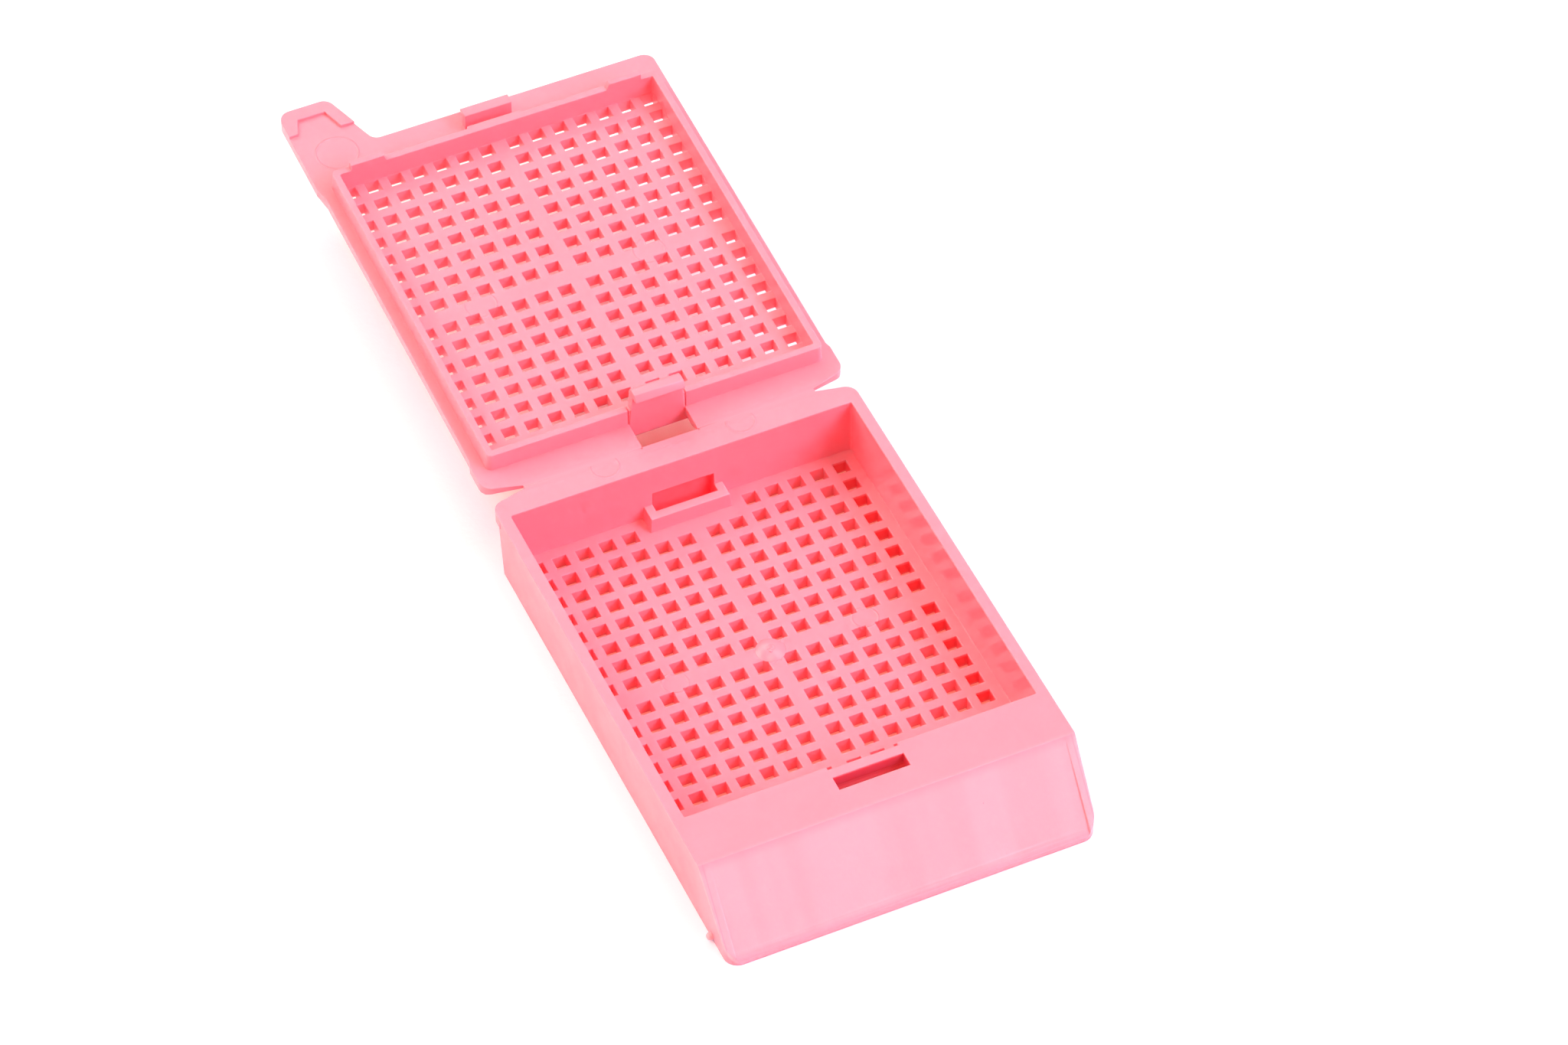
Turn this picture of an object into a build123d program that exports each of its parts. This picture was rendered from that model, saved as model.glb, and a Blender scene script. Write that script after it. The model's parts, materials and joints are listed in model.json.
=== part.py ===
from build123d import *
import math
import os

os.makedirs("parts", exist_ok=True)

# Tissue cassette: a perforated tray with a sloping writing label, and a perforated lid
# that folds over on a living hinge and snaps shut at both ends.
#
# Frame: X across the cassette, Y from the label towards the hinge, Z up. The origin is
# the middle of the perforated field, on the plane that the tray stands on. The lid is
# modelled lying flat and open, then set at its resting tilt. Millimetres and degrees.

# ---- overall sizes of the tray ----
outer_width = 28.5
cavity_length = 30.6
cavity_depth = 5.0
floor_thickness = 1.2
side_wall = 0.85
front_wall = 0.9
rear_wall = 1.1
outer_draft = 2.3
cavity_corner_radius = 0.15
rear_corner_radius = 0.9

# ---- perforations ----
hole_side = 1.1
hole_count_across = 7
hole_count_along = 8
tray_hole_inset = 0.83
tray_rib_across = 0.445
tray_rib_along = 0.625
lid_hole_inset = 0.03
lid_rib_across = 0.43
lid_rib_along = 0.59

# ---- label end of the tray ----
shelf_length = 4.3
shelf_thickness = 1.0
label_run = 4.8
label_thickness = 1.0
label_margin_lip = 0.35
label_panel_lip = 0.1
label_margin = 0.8
label_corner_radius = 1.3

# ---- living hinge ----
hinge_reach = 2.2
web_length = 0.3
web_thickness = 0.3
web_half_width = 11.45
strip_thickness = 1.0
groove_length = 0.9
tray_ear_setback = 0.6
lid_ear_setback = 0.8
ear_radius = 1.0
closed_gap = 0.1
rest_tilt = 3.05

# ---- lid ----
flange_thickness = 0.8
flange_side_inset = 0.15
flange_far_reach = 18.25
flange_corner_radius = 0.9
hinge_ear_length = 3.3
ear_blend = 0.5
rim_clearance = 0.1
rim_height = 1.5
rim_wall = 0.6
rim_draft = 3.0
rim_corner_radius = 0.5
lid_floor_step = 0.3
lid_floor_thickness = 1.1

# ---- raised tabs and a thicker middle on the far rim ----
corner_tab_height = 2.05
corner_tab_width = 2.6
corner_tab_offset = 10.45
corner_tab_lean = 22
rim_pad_width = 4.3
rim_pad_thickness = 0.12

# ---- finger tab ----
finger_tab_reach = 4.95
finger_tab_width = 4.0
finger_tab_slope = 1.8
finger_tab_overhang = 0.1
finger_tab_radius = 0.9
finger_fillet = 0.8
finger_blend = 1.5
grip_height = 0.25
grip_end_width = 1.1
grip_left_length = 2.45
grip_left_width = 1.2
grip_left_foot = 0.7
grip_right_length = 2.9
grip_right_width = 0.6
grip_right_foot = 0.6

# ---- front snap: a hook on the lid and a slot in the tray's shelf ----
slot_width = 5.4
slot_from_cavity = 1.0
slot_length = 1.2
notch_depth = 0.25
hook_width = 3.8
hook_clearance = 0.06
hook_stem = 0.6
hook_lip_start = 1.15
hook_height = 1.5
hook_lead_in = 0.2

# ---- rear snap: an arm on the lid and a pocket in the tray's rear wall ----
arm_width = 4.4
arm_tip_width = 3.9
arm_thickness = 0.6
arm_height = 3.2
arm_slit = 0.1
arm_lip = 0.35
arm_lip_start = 2.8
arm_head_depth = 1.0
arm_edge_round = 0.1
arm_corner_round = 0.35
pocket_side_clearance = 0.25
pocket_depth = 0.6
pocket_height = 2.32
guard_wall = 0.75
guard_height = 1.2
guard_front_wall = 0.8
guard_reach = 1.5
guard_draft = 6

# ---- gate mark on the tray floor ----
gate_radius = 1.0
gate_height = 0.3

# ---- places that follow from the sizes above ----
cut_margin = 1.0
tray_height = floor_thickness + cavity_depth
cavity_width = outer_width - 2 * side_wall
half_width = outer_width / 2
half_cavity = cavity_length / 2
rear_wall_y = half_cavity + rear_wall
label_top_y = -half_cavity - shelf_length
label_tip_y = label_top_y - label_run
hinge_y = half_cavity + hinge_reach
hinge_z = tray_height + closed_gap / 2
slot_rear_y = -half_cavity - slot_from_cavity
pocket_width = arm_width + 2 * pocket_side_clearance
guard_half_width = pocket_width / 2 + guard_wall
rim_length = cavity_length - 2 * rim_clearance
rim_width = cavity_width - 2 * rim_clearance
rim_near = hinge_y - rim_length / 2
rim_far = hinge_y + rim_length / 2
flange_half_width = half_width - flange_side_inset
flange_far = hinge_y + flange_far_reach
finger_tip = flange_far + finger_tab_reach
finger_left = -half_width - finger_tab_overhang
finger_right = finger_left + finger_tab_width
finger_root = finger_right + finger_tab_slope
hook_near = hinge_y - slot_rear_y + hook_clearance
hook_tip = hinge_y - slot_rear_y + slot_length - 2 * hook_clearance


def block(x, y, z):
    # A box between two limits on each axis.
    return Pos((x[0] + x[1]) / 2, (y[0] + y[1]) / 2, (z[0] + z[1]) / 2) * Box(
        x[1] - x[0], y[1] - y[0], z[1] - z[0]
    )


def side_prism(points, half):
    # A profile drawn in Y and Z, run across from -half to half.
    profile = Plane.YZ * make_face(Polyline(*points, close=True))
    return extrude(profile, amount=half, both=True)


def mirrored(values):
    return [-v for v in reversed(values)] + values


def corners_at(face, x, y):
    # The corners of an outline at this height, as far from the middle as x on either side.
    return [v for v in face.vertices() if abs(abs(v.X) - x) < 1e-4 and abs(v.Y - y) < 1e-4]


def hole_line(reach, rib, steps):
    # Hole centres each way from a wider middle rib, until the last hole's edge is at the reach.
    pitch = (reach - (rib + hole_side) / 2) / (steps[-1] + 0.5)
    return mirrored([rib / 2 + pitch * (i + 0.5) for i in steps])


def hole_centres(reach_across, reach_along, rib_across, rib_along):
    across = hole_line(reach_across, rib_across, range(hole_count_across))
    along = hole_line(reach_along, rib_along, range(hole_count_along))
    return [(x, y) for x in across for y in along]


def perforations(centres, low, high):
    half = hole_side / 2
    return [block((x - half, x + half), (y - half, y + half), (low, high))
            for x, y in centres]


# ---- tray ----

def tray_blank():
    # The side profile, trimmed to the outline seen from above, which narrows towards the base.
    profile = side_prism([
        (label_tip_y, 0),
        (label_tip_y, label_margin_lip),
        (label_top_y, tray_height),
        (rear_wall_y, tray_height),
        (rear_wall_y, 0),
    ], half_width + cut_margin)
    middle_y = (label_tip_y + rear_wall_y) / 2
    outline = Pos(0, middle_y, tray_height) * Rectangle(outer_width, rear_wall_y - label_tip_y)
    outline = fillet(outline.vertices().sort_by(Axis.Y)[:2], label_corner_radius)
    outline = fillet(outline.vertices().sort_by(Axis.Y)[-2:], rear_corner_radius)
    return profile & extrude(outline, amount=-tray_height, taper=outer_draft)


def hinge_strip():
    # The shelf behind the rear wall. It thins towards the web, so that the hinge folds there.
    web_y = hinge_y - web_length / 2
    ear_y = web_y - tray_ear_setback
    outline = make_face(Polyline(
        (-half_width, half_cavity), (-half_width, ear_y), (-web_half_width, web_y),
        (web_half_width, web_y), (half_width, ear_y), (half_width, half_cavity), close=True,
    ))
    outline = fillet(corners_at(outline, half_width, ear_y), ear_radius)
    tongue = Pos(0, web_y) * Rectangle(arm_width + 2 * arm_slit, web_length)
    strip = extrude(Pos(0, 0, tray_height - strip_thickness) * (outline + tongue), amount=strip_thickness)
    groove = side_prism([
        (web_y + web_length, tray_height - web_thickness),
        (web_y, tray_height - web_thickness),
        (web_y - groove_length, tray_height - strip_thickness),
        (web_y - groove_length, -cut_margin),
        (web_y + web_length, -cut_margin),
    ], half_width + cut_margin)
    return strip - groove


def label_hollow():
    # The label end is a thin shell, open underneath.
    drop = tray_height - label_margin_lip
    along = label_thickness / math.sin(math.atan2(drop, label_run))
    slope = label_run / drop
    shelf_z = tray_height - shelf_thickness
    inner = label_top_y + along - slope * shelf_thickness
    foot = label_top_y + along - slope * (tray_height + cut_margin)
    return side_prism([
        (-half_cavity - front_wall, -cut_margin),
        (-half_cavity - front_wall, shelf_z),
        (inner, shelf_z),
        (foot, -cut_margin),
    ], cavity_width / 2)


def label_panel():
    # The writing panel sinks below its side margins, deeper towards the tip.
    return side_prism([
        (label_top_y, tray_height),
        (label_tip_y - cut_margin, label_margin_lip),
        (label_tip_y - cut_margin, label_panel_lip),
        (label_tip_y, label_panel_lip),
    ], half_width - label_margin)


def latch_guard():
    # A low U-shaped wall round the core opening under the rear pocket.
    guard = extrude(
        Pos(0, half_cavity, floor_thickness) * Rectangle(2 * guard_half_width, 2 * guard_reach),
        amount=guard_height, taper=guard_draft,
    )
    inside_wall = (half_cavity + rear_wall / 2, hinge_y)
    return guard - block((-half_width, half_width), inside_wall, (0, tray_height))


def make_tray():
    tray = tray_blank() + hinge_strip()
    tray -= label_hollow()
    tray -= label_panel()
    cavity_outline = RectangleRounded(cavity_width, cavity_length, cavity_corner_radius)
    cavity = Pos(0, 0, floor_thickness) * cavity_outline
    tray -= extrude(cavity, amount=cavity_depth)
    tray -= block((-slot_width / 2, slot_width / 2), (-half_cavity - notch_depth, 0),
                  (floor_thickness, tray_height + cut_margin))
    tray -= block((-slot_width / 2, slot_width / 2), (slot_rear_y - slot_length, slot_rear_y),
                  (floor_thickness, tray_height + cut_margin))
    tray += latch_guard()
    pocket_half = pocket_width / 2
    opening_y = half_cavity - guard_reach + guard_front_wall
    tray -= block((-pocket_half, pocket_half), (opening_y, half_cavity + pocket_depth),
                  (-cut_margin, floor_thickness + pocket_height))
    tray += Pos(0, 0, floor_thickness) * gate_mark()
    guard_y = half_cavity - guard_reach
    centres = hole_centres(cavity_width / 2 - tray_hole_inset, half_cavity - tray_hole_inset,
                           tray_rib_across, tray_rib_along)
    centres = [(x, y) for x, y in centres if abs(x) > guard_half_width or y + hole_side / 2 < guard_y]
    return tray - perforations(centres, -cut_margin, floor_thickness)


def gate_mark():
    # A shallow dome where the plastic entered the mould.
    sphere_radius = (gate_radius ** 2 + gate_height ** 2) / (2 * gate_height)
    dome = Pos(0, 0, gate_height - sphere_radius) * Sphere(sphere_radius)
    upright = (Align.CENTER, Align.CENTER, Align.MIN)
    return dome & Cylinder(gate_radius, gate_height + cut_margin, align=upright)


# ---- lid, lying flat: Y is the distance from the hinge axis, Z = 0 is the inner face ----

def flange():
    web_y = web_length / 2
    ear_y = web_y + lid_ear_setback
    outline = make_face(Polyline(
        (-web_half_width, web_y), (web_half_width, web_y), (half_width, ear_y),
        (half_width, hinge_ear_length), (flange_half_width, hinge_ear_length + ear_blend),
        (flange_half_width, flange_far), (finger_root, flange_far), (finger_right, finger_tip),
        (finger_left, finger_tip), (finger_left, rim_far), (-flange_half_width, rim_far - finger_blend),
        (-flange_half_width, hinge_ear_length + ear_blend), (-half_width, hinge_ear_length),
        (-half_width, ear_y), close=True,
    ))
    outline = fillet(corners_at(outline, half_width, ear_y), ear_radius)
    outline = fillet(corners_at(outline, flange_half_width, flange_far), flange_corner_radius)
    outline = fillet(corners_at(outline, -finger_left, finger_tip)
                     + corners_at(outline, -finger_right, finger_tip), finger_tab_radius)
    outline = fillet(corners_at(outline, -finger_root, flange_far), finger_fillet)
    plate = extrude(outline, amount=-flange_thickness)
    groove = side_prism([
        (-web_length, -web_thickness), (web_y, -web_thickness), (web_y + groove_length, -flange_thickness),
        (web_y + groove_length, -flange_thickness - cut_margin),
        (-web_length, -flange_thickness - cut_margin),
    ], half_width + cut_margin)
    return plate - groove, outline


def grip_ridge(outline):
    # A raised border round the end of the finger tab, open towards the lid.
    left_foot = finger_tip - grip_left_length
    right_foot = finger_tip - grip_right_length
    border = make_face(Polyline(
        (finger_left - cut_margin, left_foot),
        (finger_left + grip_left_foot, left_foot),
        (finger_left + grip_left_width, finger_tip - grip_end_width),
        (finger_right - grip_right_width, finger_tip - grip_end_width),
        (finger_root - finger_tab_slope + grip_right_foot - grip_right_width, right_foot),
        (finger_root, right_foot),
        (finger_root, finger_tip + cut_margin),
        (finger_left - cut_margin, finger_tip + cut_margin), close=True,
    ))
    return extrude(border & outline, amount=grip_height)


def rim_box(inset, low, high, draft):
    base = Pos(0, hinge_y, low) * RectangleRounded(
        rim_width - 2 * inset, rim_length - 2 * inset, max(rim_corner_radius - inset, 0.15))
    return extrude(base, amount=high - low, taper=draft)


def corner_tab(side):
    # The part of the taller far wall that stays as a tab, with a leaning inner end.
    inner = corner_tab_offset - corner_tab_width / 2
    outer = corner_tab_offset + corner_tab_width / 2
    foot = inner - corner_tab_height * math.tan(math.radians(corner_tab_lean))
    profile = Plane.XZ * make_face(Polyline(
        (side * outer, 0), (side * outer, corner_tab_height), (side * inner, corner_tab_height),
        (side * foot, 0), close=True,
    ))
    return Pos(0, hinge_y, 0) * extrude(profile, amount=-rim_length)


def rim():
    # The wall that drops inside the tray. Its far side has two raised tabs and a thicker middle.
    walls = rim_box(0, -lid_floor_step, rim_height, rim_draft)
    tall = rim_box(0, -lid_floor_step, corner_tab_height, rim_draft)
    for side in (-1, 1):
        walls += tall & corner_tab(side)
    walls += block((-rim_pad_width / 2, rim_pad_width / 2),
                   (rim_far - rim_wall, rim_far + rim_pad_thickness), (-lid_floor_step, rim_height))
    return walls - rim_box(rim_wall, -lid_floor_step, corner_tab_height + cut_margin, 0)


def rear_arm():
    # A springy finger in line with the rim's near wall; its lip snaps into the tray's pocket.
    back = rim_near + arm_thickness
    head_back = rim_near - arm_lip + arm_head_depth
    top_round = arm_height - arm_edge_round
    finger = side_prism([
        (rim_near, -flange_thickness),
        (rim_near, arm_lip_start),
        (rim_near - arm_lip, arm_lip_start + arm_lip / 2),
        (rim_near - arm_lip, top_round),
        (rim_near - arm_lip + arm_edge_round, arm_height),
        (head_back - arm_edge_round, arm_height),
        (head_back, top_round),
        (head_back, arm_lip_start),
        (back, arm_lip_start - (head_back - back)),
        (back, -flange_thickness),
    ], arm_width / 2)
    front = Plane.XZ * make_face(Polyline(
        (-arm_width / 2, -flange_thickness), (arm_width / 2, -flange_thickness),
        (arm_tip_width / 2, arm_height), (-arm_tip_width / 2, arm_height), close=True,
    ))
    front = fillet(front.vertices().sort_by(Axis.Z)[-2:], arm_corner_round)
    return finger & extrude(front, amount=-2 * rim_near)


def front_hook():
    # The snap beyond the far rim, which drops through the slot in the tray's shelf.
    return side_prism([
        (hook_near, -flange_thickness),
        (hook_near, hook_height),
        (hook_tip - hook_lead_in, hook_height),
        (hook_tip, hook_height - hook_lead_in),
        (hook_tip, hook_lip_start),
        (hook_near + hook_stem, hook_lip_start),
        (hook_near + hook_stem, -flange_thickness),
    ], hook_width / 2)


def make_lid():
    plate, outline = flange()
    lid = plate + grip_ridge(outline)
    lid += Pos(0, hinge_y, -lid_floor_step - lid_floor_thickness) * extrude(
        RectangleRounded(rim_width, rim_length, rim_corner_radius), amount=lid_floor_thickness)
    lid -= rim_box(rim_wall, -lid_floor_step, cut_margin, 0)
    lid += rim()
    arm_half = arm_width / 2
    for side in (-1, 1):
        slit = sorted((side * arm_half, side * (arm_half + arm_slit)))
        lid -= block(slit, (rim_near - cut_margin, rim_near + rim_wall + arm_slit),
                     (0, rim_height + cut_margin))
    lid -= block((-arm_half, arm_half), (-web_length, rim_near),
                 (-2 * flange_thickness, rim_height + cut_margin))
    lid += rear_arm() + front_hook()
    inset = rim_wall + lid_hole_inset
    centres = hole_centres(rim_width / 2 - inset, rim_length / 2 - inset, lid_rib_across, lid_rib_along)
    centres = [(x, y + hinge_y) for x, y in centres]
    lid -= perforations(centres, -lid_floor_step - lid_floor_thickness - cut_margin, -lid_floor_step)
    return lid


def at_hinge(shape):
    # Sets a shape drawn flat about the hinge axis at the resting tilt.
    return Pos(0, hinge_y, hinge_z) * Rot(rest_tilt, 0, 0) * Pos(0, 0, -closed_gap / 2) * shape


# ---- living hinge web: one strap on each side of the window ----

def make_web(side):
    tilt = math.radians(rest_tilt)
    half = web_length / 2
    top = -closed_gap / 2
    bottom = top - web_thickness

    def lid_end(z):
        return (half * math.cos(tilt) - z * math.sin(tilt), half * math.sin(tilt) + z * math.cos(tilt))

    profile = [(-half, bottom), (-half, top), (0, top), lid_end(top), lid_end(bottom), (0, bottom)]
    web = Pos(0, hinge_y, hinge_z) * side_prism(profile, web_half_width)
    x_range = sorted((side * arm_width / 2, side * web_half_width))
    return web & block(x_range, (0, 2 * hinge_y), (0, 2 * hinge_z))


nodes = {
    "tray": make_tray(),
    "lid": at_hinge(make_lid()),
    "hinge_web_left": make_web(-1),
    "hinge_web_right": make_web(1),
}
for name, solid in nodes.items():
    export_step(solid, f"parts/{name}.step")
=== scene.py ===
import json
import math

import bpy
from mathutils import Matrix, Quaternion, Vector


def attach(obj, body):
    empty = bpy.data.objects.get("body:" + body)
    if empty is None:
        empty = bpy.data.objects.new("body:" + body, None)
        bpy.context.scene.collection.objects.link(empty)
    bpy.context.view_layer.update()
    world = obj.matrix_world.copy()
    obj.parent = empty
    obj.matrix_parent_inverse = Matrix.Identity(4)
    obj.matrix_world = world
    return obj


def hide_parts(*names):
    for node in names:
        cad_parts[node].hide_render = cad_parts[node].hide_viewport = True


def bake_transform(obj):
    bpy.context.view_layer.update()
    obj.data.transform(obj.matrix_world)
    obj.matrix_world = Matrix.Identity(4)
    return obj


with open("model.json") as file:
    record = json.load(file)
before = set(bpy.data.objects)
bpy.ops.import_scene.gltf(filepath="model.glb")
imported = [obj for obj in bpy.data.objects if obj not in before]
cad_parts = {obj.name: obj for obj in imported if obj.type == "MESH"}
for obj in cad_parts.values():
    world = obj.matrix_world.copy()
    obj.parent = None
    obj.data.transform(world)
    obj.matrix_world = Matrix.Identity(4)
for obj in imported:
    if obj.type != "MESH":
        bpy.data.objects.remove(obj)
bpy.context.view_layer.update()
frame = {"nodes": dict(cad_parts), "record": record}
mm = 0.001
print("cassette loaded:", ", ".join(frame["nodes"]))

# the hinge axis, which the lid and the straps turn about, and the lid's tilt as it lies open
lidHinge = frame["record"]["behaviour"]["joints"][0]
hingeY, hingeZ = lidHinge["pos_m"][1], lidHinge["pos_m"][2]
lidTilt = math.radians(-lidHinge["range_deg"][0])

# heights and edges of the tray, in metres like the frame
tray = {
    "floorTop": 1.2 * mm,
    "top": 6.2 * mm,
    "labelTopY": -19.6 * mm,
    "labelRun": 4.8 * mm,
    "labelLip": 0.35 * mm,
    "cavityHalf": (13.5 * mm, 15.4 * mm),
    "cavityTop": 6.05 * mm,
}


def onLid(across, along, above=0.0):
    # a place on the open lid, in millimetres from the hinge axis along its inner face
    v, w = along * mm, above * mm
    return (across * mm,
            hingeY + v * math.cos(lidTilt) - w * math.sin(lidTilt),
            hingeZ + v * math.sin(lidTilt) + w * math.cos(lidTilt))


def onLabel(across, down):
    # a place on the sloping label, as a share of the way from its top to its tip
    drop = tray["top"] - tray["labelLip"]
    return (across * mm, tray["labelTopY"] - tray["labelRun"] * down, tray["top"] - drop * down)


# moulded plastic, as it is all over the part
plastic = {
    "colour": (0.97, 0.272, 0.336),
    "paleColour": (0.98, 0.288, 0.354),
    "mottleSize": 2.5 * mm,
    "mottleDetail": 3.0,
    "mottleRange": (0.3, 0.7),
    "grainSize": 0.22 * mm,
    "grainDetail": 2.0,
    "grainDepth": 0.003 * mm,
    "innerGrainDepth": 0.0005 * mm,
    "waveSize": 3.5 * mm,
    "waveDetail": 1.0,
    "waveDepth": 0.02 * mm,
    "roughness": (0.30, 0.38),
    "innerRoughness": (0.10, 0.17),
    "edgeRound": 0.13 * mm,
    "edgeSamples": 6,
    "index": 1.48,
    "glowReach": (1.0, 0.17, 0.17),
    "glowScale": 1.2 * mm,
    # the colour of the painted red glow in the tray's deep places
    "paintedGlowColour": (1.0, 0.0, 0.02),
    "hingeClear": (0.3 * mm, 0.55 * mm),
    "hingeColour": (0.96, 0.245, 0.305),
    "palerHinge": (0.97, 0.26, 0.32),
}

# the sloping label, which is matt and paler, with painted shade in a band near its tip and in a thin
# line near each side
labelFinishAndShade = {
    "colour": (0.97, 0.392, 0.445),
    "streakColour": (0.965, 0.365, 0.415),
    "streakWidth": 3.2 * mm,
    "streakDetail": 2.0,
    "streakStretch": (1, 0.06, 0.06),
    "streakRange": (0.42, 0.68),
    "roughness": 0.42,
    "grainDepth": 0.006 * mm,
    "depth": (0.45 * mm, 0.585 * mm),
    "softEdge": (-0.35 * mm, 0.55 * mm),
    "tipStart": (4.0 * mm, 4.2 * mm),
    "tipLineSize": 0.16 * mm,
    "tipLineDetail": 0.0,
    "tipLineStretch": (0.02, 1, 1),
    "tipLineDepth": 0.03 * mm,
    "paintedShadeColour": (0.95, 0.315, 0.385),
    "paintedTipShade": (4.1 * mm, 4.65 * mm),
    "shadeLineAt": 13.95 * mm,
    "shadeLineWidth": 0.07 * mm,
}

# places of the tray with painted shade and painted light, in millimetres: a box's middle, how far it
# reaches each way and how much of that it fades over, and a colour; the slot, the pocket, the last
# column of holes on the right and the left outer wall are painted darker as shade, the guard's top is
# painted paler as light, and the deep places get a painted red glow
paintedShadeAndLight = {
    "slot": {
        "centre": (0, -16.9, 5.45), "reach": (2.95, 0.85, 0.75), "fade": (0.25, 0.25, 0.25),
        "colour": (0.53, 0.07, 0.11), "paintedGlow": 0.18},
    "pocket": {
        "centre": (0, 15.7, 1.5), "reach": (2.6, 0.38, 2.3), "fade": (0.15, 0.15, 0.15),
        "colour": (0.93, 0.20, 0.235), "paintedGlow": 0.3},
    "rightHoles": {
        "centre": (12.2, 0, 0.55), "reach": (1.7, 16.2, 0.6), "fade": (1.0, 1.0, 0.3),
        "colour": (0.80, 0.11, 0.14), "paintedGlow": 0.1},
    "guardTop": {
        "centre": (0, 14.5, 2.5), "reach": (3.3, 0.8, 0.2), "fade": (0.1, 0.1, 0.1),
        "colour": (0.98, 0.38, 0.44), "paintedGlow": 0.0},
    "leftWall": {
        "centre": (-14.9, -1.2, 2.9), "reach": (1.2, 19.2, 3.3), "fade": (0.3, 2.0, 0.3),
        "colour": (0.94, 0.24, 0.30), "paintedGlow": 0.0},
}
boxKeys = ("centre", "reach", "fade")

# ejector marks, pits and specks: their depths, widths and colour
markShape = {
    "ringDepth": 0.045 * mm,
    "ringWidth": 0.12 * mm,
    "pitDepth": 0.06 * mm,
    "speckColour": (0.72, 0.16, 0.22),
    "speckStrength": 0.6,
    "speckEdge": (0.4, 1.2),
}

# ejector marks, as a centre and a radius, and small pits
trayMarks = {
    "rings": [
        ((-7.4 * mm, 0, tray["floorTop"]), 0.95 * mm),
        ((7.4 * mm, 0, tray["floorTop"]), 0.95 * mm),
        ((-5.4 * mm, 16.9 * mm, tray["top"]), 1.05 * mm),
        ((5.3 * mm, 16.9 * mm, tray["top"]), 1.05 * mm),
    ],
    "pits": [
        (onLabel(-1.0, 0.62), 0.10 * mm),
        (onLabel(-9.8, 0.43), 0.08 * mm),
        (onLabel(-10.3, 0.9), 0.09 * mm),
        (onLabel(-13.4, 0.93), 0.12 * mm),
        (onLabel(6.5, 0.34), 0.08 * mm),
        ((-14.25 * mm, 13.2 * mm, 5.85 * mm), 0.09 * mm),
    ],
}
lidMarks = {
    "rings": [
        (onLid(-11.6, 35.5), 1.6 * mm),
        (onLid(-7.5, 17.5, -0.3), 1.2 * mm),
        (onLid(6.0, 17.5, -0.3), 1.2 * mm),
    ],
    "pits": [],
}


class Shader:
    # adds nodes to one material and joins them

    def __init__(self, name):
        self.material = bpy.data.materials.new(name)
        self.material.use_nodes = True
        self.tree = self.material.node_tree
        self.tree.nodes.clear()
        self.place = self.add("ShaderNodeTexCoord").outputs["Object"]

    def add(self, kind, links=None, **settings):
        node = self.tree.nodes.new(kind)
        for name, value in settings.items():
            setattr(node, name, value)
        for name, value in (links or {}).items():
            if isinstance(value, bpy.types.NodeSocket):
                self.tree.links.new(value, node.inputs[name])
            else:
                node.inputs[name].default_value = value
        return node

    def maths(self, operation, a, b=0.0):
        return self.add("ShaderNodeMath", {0: a, 1: b}, operation=operation).outputs[0]

    def ramp(self, value, low, high, start=0.0, end=1.0):
        # from start to end, smoothly, as the value goes from low to high
        return self.add("ShaderNodeMapRange", {
            "Value": value, "From Min": low, "From Max": high, "To Min": start, "To Max": end,
        }, interpolation_type="SMOOTHSTEP").outputs["Result"]

    def noise(self, size, detail, stretch=(1, 1, 1)):
        where = self.add("ShaderNodeVectorMath", {0: self.place, 1: stretch}, operation="MULTIPLY")
        return self.add("ShaderNodeTexNoise", {
            "Vector": where.outputs[0], "Scale": 1 / size, "Detail": detail}).outputs["Fac"]

    def mix(self, factor, a, b):
        return self.add("ShaderNodeMixRGB", {"Fac": factor, "Color1": a, "Color2": b}).outputs[0]

    def bump(self, height, distance, normal):
        return self.add("ShaderNodeBump", {
            "Height": height, "Distance": distance, "Strength": 1.0, "Normal": normal}).outputs[0]

    def away(self, centre):
        return self.add("ShaderNodeVectorMath", {0: self.place, 1: centre},
                        operation="DISTANCE").outputs["Value"]

    def awayFromHinge(self):
        flat = self.add("ShaderNodeVectorMath", {0: self.place, 1: (0, 1, 1)}, operation="MULTIPLY")
        return self.add("ShaderNodeVectorMath", {0: flat.outputs[0], 1: (0, hingeY, hingeZ)},
                        operation="DISTANCE").outputs["Value"]


def opaque(colour):
    return (*colour, 1.0)


def beyondLabelTop(shader):
    # how far towards the tip, from the top of the label
    apart = shader.add("ShaderNodeSeparateXYZ", {0: shader.place})
    return shader.maths("SUBTRACT", tray["labelTopY"], apart.outputs["Y"]), apart.outputs["Z"]


def labelMask(shader):
    # 1 on the sloping label face, 0 elsewhere
    beyond, height = beyondLabelTop(shader)
    slope = (tray["top"] - tray["labelLip"]) / tray["labelRun"]
    faceZ = shader.maths("SUBTRACT", tray["top"], shader.maths("MULTIPLY", beyond, slope))
    off = shader.maths("ABSOLUTE", shader.maths("SUBTRACT", height, faceZ))
    near = shader.ramp(off, *labelFinishAndShade["depth"], 1.0, 0.0)
    return shader.maths("MULTIPLY", near, shader.ramp(beyond, *labelFinishAndShade["softEdge"]))


def cavityMask(shader):
    # 1 inside the tray's cavity, 0 elsewhere; it changes over at the rim
    apart = shader.add("ShaderNodeSeparateXYZ", {0: shader.place})
    inside = shader.maths("LESS_THAN", apart.outputs["Z"], tray["cavityTop"])
    for axis, half in zip("XY", tray["cavityHalf"]):
        near = shader.maths("LESS_THAN", shader.maths("ABSOLUTE", apart.outputs[axis]), half)
        inside = shader.maths("MULTIPLY", inside, near)
    return inside


def boxMask(shader, centre, reach, fade):
    # 1 inside an upright box, or over its footprint if no height is given, fading to 0 at its edges
    apart = shader.add("ShaderNodeSeparateXYZ", {0: shader.place})
    mask = 1.0
    for axis, middle, half, soft in zip("XYZ", centre, reach, fade):
        far = shader.maths("ABSOLUTE", shader.maths("SUBTRACT", apart.outputs[axis], middle))
        mask = shader.maths("MULTIPLY", mask, shader.ramp(far, half - soft, half, 1.0, 0.0))
    return mask


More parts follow.
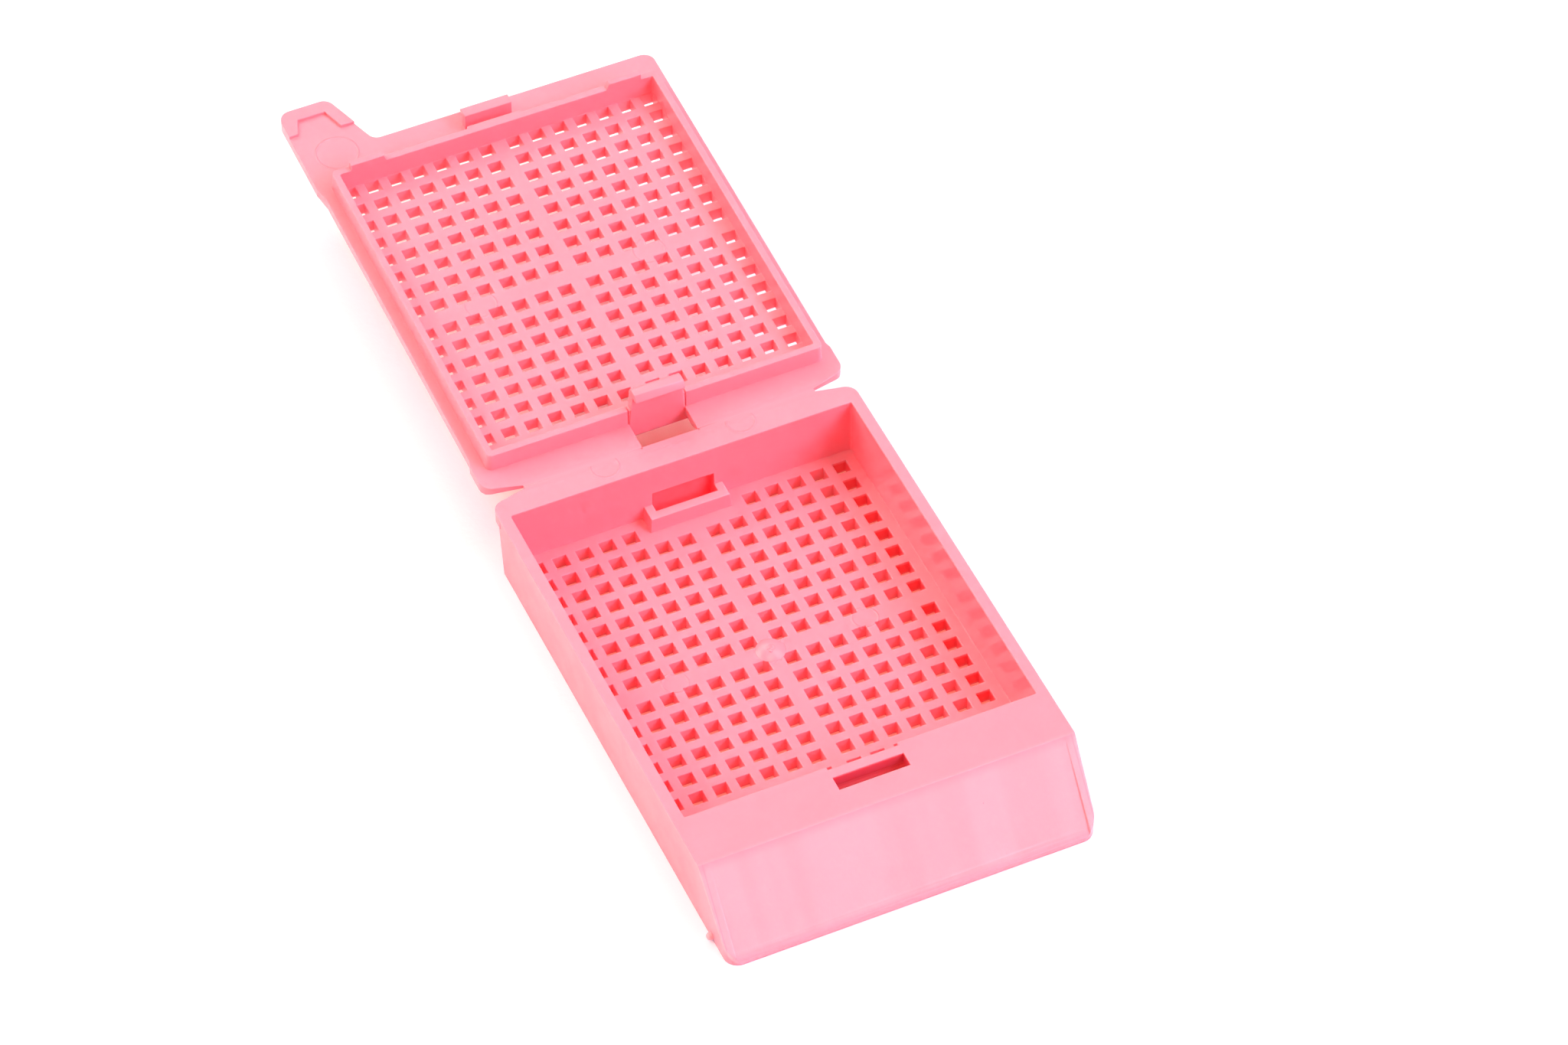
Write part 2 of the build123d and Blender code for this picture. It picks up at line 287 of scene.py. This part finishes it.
def makePlastic(name, marks, hasLabel):
    shader = Shader(name)
    mottle = shader.noise(plastic["mottleSize"], plastic["mottleDetail"])
    colour = shader.mix(mottle, opaque(plastic["colour"]), opaque(plastic["paleColour"]))
    roughness = shader.ramp(mottle, *plastic["mottleRange"], *plastic["roughness"])
    grainDepth = plastic["grainDepth"]
    paintedGlow = 0.0
    if hasLabel:
        label = labelMask(shader)
        stretched = shader.noise(
            labelFinishAndShade["streakWidth"], labelFinishAndShade["streakDetail"], labelFinishAndShade["streakStretch"])
        streaks = shader.ramp(stretched, *labelFinishAndShade["streakRange"])
        writing = shader.mix(
            streaks, opaque(labelFinishAndShade["colour"]), opaque(labelFinishAndShade["streakColour"]))
        beyond = beyondLabelTop(shader)[0]
        # painted shade: a darker band near the label's tip
        paintedTipShade = shader.ramp(beyond, *labelFinishAndShade["paintedTipShade"])
        writing = shader.mix(paintedTipShade, writing, opaque(labelFinishAndShade["paintedShadeColour"]))
        # painted shade: a thin dark line near each side of the label
        apart = shader.add("ShaderNodeSeparateXYZ", {0: shader.place})
        across = shader.maths("ABSOLUTE", apart.outputs["X"])
        fromLine = shader.maths("ABSOLUTE", shader.maths("SUBTRACT", across, labelFinishAndShade["shadeLineAt"]))
        paintedShadeLine = shader.ramp(fromLine, 0.0, labelFinishAndShade["shadeLineWidth"], 1.0, 0.0)
        writing = shader.mix(paintedShadeLine, writing, opaque(labelFinishAndShade["paintedShadeColour"]))
        colour = shader.mix(label, colour, writing)
        # painted shade, painted light and a painted red glow at the tray's places listed above
        for place in paintedShadeAndLight.values():
            mask = boxMask(shader, *[[part * mm for part in place[key]] for key in boxKeys])
            colour = shader.mix(mask, colour, opaque(place["colour"]))
            paintedGlow = shader.maths("ADD", paintedGlow, shader.maths("MULTIPLY", mask, place["paintedGlow"]))
        labelRoughness = shader.maths("MULTIPLY", label, labelFinishAndShade["roughness"])
        roughness = shader.maths("MAXIMUM", roughness, labelRoughness)
        grainDepth = shader.ramp(label, 0.0, 1.0, grainDepth, labelFinishAndShade["grainDepth"])
        inside = cavityMask(shader)
        innerRoughness = shader.ramp(mottle, *plastic["mottleRange"], *plastic["innerRoughness"])
        roughness = shader.add("ShaderNodeMix", {
            "Factor": inside, 2: roughness, 3: innerRoughness}).outputs[0]
        grainDepth = shader.add("ShaderNodeMix", {
            "Factor": inside, 2: grainDepth, 3: plastic["innerGrainDepth"]}).outputs[0]
    for centre, radius in marks["pits"]:
        inner, outer = [radius * share for share in markShape["speckEdge"]]
        speck = shader.ramp(shader.away(centre), inner, outer, markShape["speckStrength"], 0.0)
        colour = shader.mix(speck, colour, opaque(markShape["speckColour"]))
    # the edges and the glow fade near the hinge, where the straps meet the tray and the lid
    clear = shader.ramp(shader.awayFromHinge(), *plastic["hingeClear"])
    colour = shader.mix(clear, opaque(plastic["hingeColour"]), colour)
    edge = shader.maths("MULTIPLY", clear, plastic["edgeRound"])
    normal = shader.add("ShaderNodeBevel", {"Radius": edge}, samples=plastic["edgeSamples"]).outputs[0]
    waves = shader.noise(plastic["waveSize"], plastic["waveDetail"])
    normal = shader.bump(waves, plastic["waveDepth"], normal)
    grain = shader.noise(plastic["grainSize"], plastic["grainDetail"])
    normal = shader.bump(grain, grainDepth, normal)
    if hasLabel:
        tip = shader.ramp(beyond, *labelFinishAndShade["tipStart"])
        lines = shader.noise(
            labelFinishAndShade["tipLineSize"], labelFinishAndShade["tipLineDetail"], labelFinishAndShade["tipLineStretch"])
        normal = shader.bump(shader.maths("MULTIPLY", tip, lines), labelFinishAndShade["tipLineDepth"], normal)
    for centre, radius in marks["rings"]:
        fromRing = shader.maths("ABSOLUTE", shader.maths("SUBTRACT", shader.away(centre), radius))
        ring = shader.ramp(fromRing, 0.0, markShape["ringWidth"], 1.0, 0.0)
        normal = shader.bump(ring, markShape["ringDepth"], normal)
    for centre, radius in marks["pits"]:
        pit = shader.ramp(shader.away(centre), 0.0, radius)
        normal = shader.bump(pit, markShape["pitDepth"], normal)
    surface = shader.add("ShaderNodeBsdfPrincipled", {
        "Base Color": colour, "Roughness": roughness, "Normal": normal,
        "Subsurface Weight": clear, "Emission Strength": paintedGlow})
    surface.inputs["Emission Color"].default_value = opaque(plastic["paintedGlowColour"])
    surface.inputs["IOR"].default_value = plastic["index"]
    surface.inputs["Subsurface Radius"].default_value = plastic["glowReach"]
    surface.inputs["Subsurface Scale"].default_value = plastic["glowScale"]
    shader.add("ShaderNodeOutputMaterial", {"Surface": surface.outputs[0]})
    return shader.material


def makeThinPlastic(name, roughRange, colour, paleColour):
    # for thin and small pieces: the given colours, with no rounded edges and no glow
    shader = Shader(name)
    mottle = shader.noise(plastic["mottleSize"], plastic["mottleDetail"])
    colour = shader.mix(mottle, opaque(colour), opaque(paleColour))
    roughness = shader.ramp(mottle, *plastic["mottleRange"], *roughRange)
    normal = shader.add("ShaderNodeNewGeometry").outputs["Normal"]
    grain = shader.noise(plastic["grainSize"], plastic["grainDetail"])
    normal = shader.bump(grain, plastic["grainDepth"], normal)
    surface = shader.add("ShaderNodeBsdfPrincipled", {
        "Base Color": colour, "Roughness": roughness, "Normal": normal})
    surface.inputs["IOR"].default_value = plastic["index"]
    shader.add("ShaderNodeOutputMaterial", {"Surface": surface.outputs[0]})
    return shader.material


def coat(piece, material):
    piece.data.materials.clear()
    piece.data.materials.append(material)


trayPlastic = makePlastic("trayPlastic", trayMarks, True)
lidPlastic = makePlastic("lidPlastic", lidMarks, False)
strapPlastic = makeThinPlastic(
    "strapPlastic", plastic["roughness"], plastic["hingeColour"], plastic["palerHinge"])
coat(frame["nodes"]["tray"], trayPlastic)
coat(frame["nodes"]["lid"], lidPlastic)
print("plastic on the tray and the lid")


def selectOnly(piece):
    bpy.ops.object.select_all(action="DESELECT")
    piece.select_set(True)
    bpy.context.view_layer.objects.active = piece


# living hinge: each strap is cut across many times
strap = {"spans": 8, "length": 0.3 * mm, "snap": 0.0001 * mm, "weld": 0.001 * mm, "smoothBelow": 35}


def makeStrap(nodeName):
    selectOnly(frame["nodes"][nodeName])
    bpy.ops.object.duplicate()
    piece = bpy.context.active_object
    piece.name = nodeName + "_strap"
    piece.parent = None
    bpy.ops.object.mode_set(mode="EDIT")
    bpy.ops.mesh.select_all(action="SELECT")
    bpy.ops.mesh.remove_doubles(threshold=strap["weld"])
    for step in range(1, strap["spans"]):
        bpy.ops.mesh.select_all(action="SELECT")
        cutY = hingeY + strap["length"] * (step / strap["spans"] - 0.5)
        bpy.ops.mesh.bisect(plane_co=(0, cutY, 0), plane_no=(0, 1, 0), threshold=strap["snap"])
    bpy.ops.object.mode_set(mode="OBJECT")
    bpy.ops.object.shade_smooth_by_angle(angle=math.radians(strap["smoothBelow"]))
    coat(piece, strapPlastic)
    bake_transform(piece)
    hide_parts(nodeName)


for nodeName in ("hinge_web_left", "hinge_web_right"):
    makeStrap(nodeName)
print("hinge straps made")

# small pieces, in millimetres: the lead-in on the snap arm's head, which is measured along the lid
# from the hinge axis and above its inner face, the nib on the left wall and the gate's stub
leadIn = {
    "halfWidth": 1.95, "front": 1.67, "back": 2.9, "foot": 2.8, "top": 3.38,
    "slope": (0.34, 0.45), "backSlope": (0.3, 0.18), "edgeRound": 0.1, "edgeSteps": 3,
}
smoothBelow = {"rounded": 40, "dome": 50}
domeSides = 48


def roundEdges(piece, radius, steps):
    selectOnly(piece)
    rounding = piece.modifiers.new("rounding", "BEVEL")
    rounding.width = radius
    rounding.segments = steps
    rounding.limit_method = "ANGLE"
    bpy.ops.object.modifier_apply(modifier=rounding.name)
    bpy.ops.object.shade_smooth_by_angle(angle=math.radians(smoothBelow["rounded"]))


def settle(piece):
    selectOnly(piece)
    bpy.ops.object.transform_apply(location=True, rotation=True, scale=True)


def makeLeadIn():
    depth, height = leadIn["back"] - leadIn["front"], leadIn["top"] - leadIn["foot"]
    bpy.ops.object.select_all(action="DESELECT")
    bpy.ops.mesh.primitive_cube_add(size=1.0)
    piece = bpy.context.active_object
    piece.name = "snap_lead_in"
    piece.scale = (2 * leadIn["halfWidth"] * mm, depth * mm, height * mm)
    settle(piece)
    # the front top corner is cut back to the slope, and the back top corner a little
    run, rise = leadIn["slope"]
    backRun, backRise = leadIn["backSlope"]
    cuts = (
        ((0, -depth / 2 + run, height / 2), (0, -rise, run)),
        ((0, depth / 2 - backRun, height / 2), (0, backRise, backRun)),
    )
    bpy.ops.object.mode_set(mode="EDIT")
    for place, facing in cuts:
        bpy.ops.mesh.select_all(action="SELECT")
        bpy.ops.mesh.bisect(
            plane_co=[part * mm for part in place], plane_no=facing, threshold=strap["snap"],
            use_fill=True, clear_outer=True)
    bpy.ops.object.mode_set(mode="OBJECT")
    roundEdges(piece, leadIn["edgeRound"] * mm, leadIn["edgeSteps"])
    along, above = (leadIn["front"] + leadIn["back"]) / 2, (leadIn["foot"] + leadIn["top"]) / 2
    piece.location = onLid(0, along, above)
    piece.rotation_euler = (lidTilt, 0, 0)
    settle(piece)
    coat(piece, strapPlastic)
    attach(piece, "lid")


def makeDome(name, radius, depth, height, steps):
    # a round plug with a domed end, pointing up, with its shoulder at the origin
    bpy.ops.object.select_all(action="DESELECT")
    bpy.ops.mesh.primitive_cylinder_add(
        vertices=domeSides, radius=radius, depth=depth, location=(0, 0, -depth / 2))
    piece = bpy.context.active_object
    piece.name = name
    settle(piece)
    bpy.ops.object.mode_set(mode="EDIT")
    bpy.ops.mesh.select_mode(type="FACE")
    bpy.ops.mesh.select_all(action="DESELECT")
    bpy.ops.object.mode_set(mode="OBJECT")
    for face in piece.data.polygons:
        face.select = face.normal.z > 0.5
    bpy.ops.object.mode_set(mode="EDIT")
    ball = (radius ** 2 + height ** 2) / (2 * height)
    width = radius
    for step in range(1, steps):
        bpy.ops.mesh.extrude_region_move(TRANSFORM_OT_translate={"value": (0, 0, height / steps)})
        below = ball - height * (1 - step / steps)
        narrower = math.sqrt(ball ** 2 - below ** 2)
        bpy.ops.transform.resize(value=(narrower / width, narrower / width, 1))
        width = narrower
    bpy.ops.object.mode_set(mode="OBJECT")
    return piece


nib = {
    "shoulder": (-14.22, -21.2, 0.35),
    "size": (0.22, 0.6, 0.5),
    "depth": 0.3,
    "steps": 8,
    # the nib's colours are painted paler than the plastic's: painted light, so its small dome looks as
    # lit as the wall around it
    "colour": (0.97, 0.42, 0.47),
    "paleColour": (0.97, 0.46, 0.51),
}


def makeNib():
    width, length, height = [part * mm for part in nib["size"]]
    piece = makeDome("moulding_nib", length / 2, nib["depth"] * mm, width, nib["steps"])
    piece.scale = (height / length, 1, 1)
    piece.rotation_euler = (0, math.radians(-90), 0)
    piece.location = [part * mm for part in nib["shoulder"]]
    settle(piece)
    bpy.ops.object.shade_smooth_by_angle(angle=math.radians(smoothBelow["dome"]))
    coat(piece, makeThinPlastic("nibPaintedLight", plastic["roughness"], nib["colour"], nib["paleColour"]))
    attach(piece, "tray")


gate = {
    "radius": 1.1,
    "depth": 1.1,
    "height": 0.3,
    "steps": 12,
    "pipPlace": (-0.12, -0.3),
    "pipRadius": 0.12,
    "pipHeight": 0.08,
    "pipDepth": 0.2,
    "pipRise": 0.9,
    "roughness": (0.19, 0.25),
}


def makeGate():
    # the gate's stub: a low dome over a round plug that fills the corners of the holes beside it
    depth, height = gate["depth"] * mm, gate["height"] * mm
    piece = makeDome("gate_stub", gate["radius"] * mm, depth, height, gate["steps"])
    pipAcross, pipAlong = gate["pipPlace"]
    pipSize = [gate[part] * mm for part in ("pipRadius", "pipDepth", "pipHeight")]
    pip = makeDome("pip", *pipSize, gate["steps"])
    pip.location = (pipAcross * mm, pipAlong * mm, height * gate["pipRise"])
    selectOnly(piece)
    pip.select_set(True)
    bpy.ops.object.join()
    piece.location = (0, 0, tray["floorTop"])
    settle(piece)
    bpy.ops.object.shade_smooth_by_angle(angle=math.radians(smoothBelow["dome"]))
    coat(piece, makeThinPlastic(
        "stubPlastic", gate["roughness"], plastic["hingeColour"], plastic["palerHinge"]))
    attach(piece, "tray")


makeLeadIn()
makeNib()
makeGate()
print("snap lead-in, nib and gate stub made")

# floor, light and camera
studio = {
    "floorSize": 3.0,
    "floorGap": 0.02 * mm,
    "floorColour": (1.0, 0.96, 0.96),
    "floorPatch": (1.0, 0.945, 0.945),
    "patchSize": 40 * mm,
    "patchDetail": 2.0,
    "patchRange": (0.3, 0.7),
    "floorGrain": 0.6 * mm,
    "floorGrainDetail": 3.0,
    "floorGrainDepth": 0.02 * mm,
    "floorRoughness": (0.8, 0.9),
    "floorShine": 0.2,
    "skyColour": (1.0, 0.80, 0.75),
    "skyStrength": 0.45,
    "aim": (0.0, 0.017, 0.004),
    "lampDistance": 0.9,
}

# patches of the floor with painted light and shade: painted pink light and shade under and behind the
# tray and under the lid, where the plastic lets pink light through, and a painted lift of the soft
# shade left of the lid; each has a middle, how far it reaches each way, how much of that it fades over,
# and a colour
paintedFloorLight = {
    "underTray": ((0, -3.3 * mm), (13.6 * mm, 20.4 * mm), (0.8 * mm, 0.8 * mm), (1.0, 0.36, 0.30)),
    "behindTray": ((0, 17.5 * mm), (7.5 * mm, 8.0 * mm), (6.0 * mm, 6.0 * mm), (1.0, 0.47, 0.39)),
    "underLid": ((1.0 * mm, 41 * mm), (14 * mm, 24 * mm), (3.0 * mm, 3.0 * mm), (1.0, 0.94, 0.91)),
    "leftShade": ((-19.5 * mm, 20 * mm), (9 * mm, 48 * mm), (3.0 * mm, 3.0 * mm), (0.3, 0.62, 1.0)),
    "paintedGlow": 0.25,
    "shadeLift": 0.16,
}

# soft lamps: compass angle from +Y towards +X, height angle, size in metres, power in watts, colour
lamps = {
    "frontRight": (138, 36, 0.55, 7.4, (1.0, 0.715, 0.95)),
    "backLeft": (315, 38, 0.6, 4.7, (1.0, 0.79, 0.73)),
    "left": (270, 45, 0.6, 2.6, (1.0, 0.77, 0.68)),
    "right": (90, 57, 0.5, 2.4, (1.0, 0.80, 0.80)),
    "back": (0, 40, 0.5, 2.1, (1.0, 0.79, 0.70)),
    "backRight": (45, 68, 0.4, 0.9, (1.0, 0.78, 0.83)),
    "overhead": (200, 84, 0.4, 1.2, (1.0, 0.83, 0.55)),
}

bpy.ops.object.select_all(action="DESELECT")
bpy.ops.mesh.primitive_plane_add(size=studio["floorSize"], location=(0, 0, -studio["floorGap"]))
floor = bpy.context.active_object
floor.name = "floor"
paleFloor = Shader("paleFloor")
patches = paleFloor.noise(studio["patchSize"], studio["patchDetail"])
floorNormal = paleFloor.add("ShaderNodeNewGeometry").outputs["Normal"]
floorGrain = paleFloor.noise(studio["floorGrain"], studio["floorGrainDetail"])
floorColour = paleFloor.mix(patches, opaque(studio["floorColour"]), opaque(studio["floorPatch"]))
for name in ("underLid", "behindTray", "underTray"):
    centre, reach, fade, pink = paintedFloorLight[name]
    mask = boxMask(paleFloor, centre, reach, fade)
    floorColour = paleFloor.mix(mask, floorColour, opaque(pink))
# the last of these, under the tray, has a painted glow as well
underTray, underTrayPink = mask, pink
# painted light: an emission that lifts the soft shade left of the lid
centre, reach, fade, liftColour = paintedFloorLight["leftShade"]
lifted = paleFloor.maths("MULTIPLY", boxMask(paleFloor, centre, reach, fade), paintedFloorLight["shadeLift"])
floorSurface = paleFloor.add("ShaderNodeBsdfPrincipled", {
    "Base Color": floorColour,
    "Emission Color": paleFloor.mix(underTray, opaque(liftColour), opaque(underTrayPink)),
    "Emission Strength": paleFloor.maths(
        "MAXIMUM", paleFloor.maths("MULTIPLY", underTray, paintedFloorLight["paintedGlow"]), lifted),
    "Roughness": paleFloor.ramp(patches, *studio["patchRange"], *studio["floorRoughness"]),
    "Normal": paleFloor.bump(floorGrain, studio["floorGrainDepth"], floorNormal)})
floorSurface.inputs["Specular IOR Level"].default_value = studio["floorShine"]
paleFloor.add("ShaderNodeOutputMaterial", {"Surface": floorSurface.outputs[0]})
coat(floor, paleFloor.material)

sky = bpy.data.worlds.new("softSky")
bpy.context.scene.world = sky
sky.use_nodes = True
sky.node_tree.nodes["Background"].inputs["Color"].default_value = opaque(studio["skyColour"])
sky.node_tree.nodes["Background"].inputs["Strength"].default_value = studio["skyStrength"]

for lampName, (compass, height, size, power, colour) in lamps.items():
    turn, rise = math.radians(compass), math.radians(height)
    towards = Vector((math.cos(rise) * math.sin(turn), math.cos(rise) * math.cos(turn), math.sin(rise)))
    bpy.ops.object.light_add(
        type="AREA", location=Vector(studio["aim"]) + towards * studio["lampDistance"])
    lamp = bpy.context.active_object
    lamp.name = lampName
    lamp.data.shape = "DISK"
    lamp.data.size = size
    lamp.data.energy = power
    lamp.data.color = colour
    lamp.rotation_mode = "QUATERNION"
    lamp.rotation_quaternion = (-towards).to_track_quat("-Z", "Y")

# the camera: its place and aim in metres, its roll in degrees, its lens and sensor in millimetres
cameraSpot = {
    "place": (-0.11812, -0.26472, 0.33522),
    "aim": (0.00452, 0.00759, 0.00500),
    "roll": -0.289,
    "lens": 142.93,
    "sensor": 36.0,
    "nearest": 0.01,
    "farthest": 10.0,
}
bpy.ops.object.camera_add(location=cameraSpot["place"])
camera = bpy.context.active_object
camera.name = "camera"
camera.data.sensor_width = cameraSpot["sensor"]
camera.data.lens = cameraSpot["lens"]
camera.data.clip_start = cameraSpot["nearest"]
camera.data.clip_end = cameraSpot["farthest"]
camera.rotation_mode = "QUATERNION"
look = (Vector(cameraSpot["aim"]) - Vector(cameraSpot["place"])).to_track_quat("-Z", "Y")
camera.rotation_quaternion = look @ Quaternion((0, 0, 1), math.radians(cameraSpot["roll"]))
bpy.context.scene.camera = camera
bpy.context.scene.view_settings.view_transform = "Standard"
print("floor, light and camera placed")
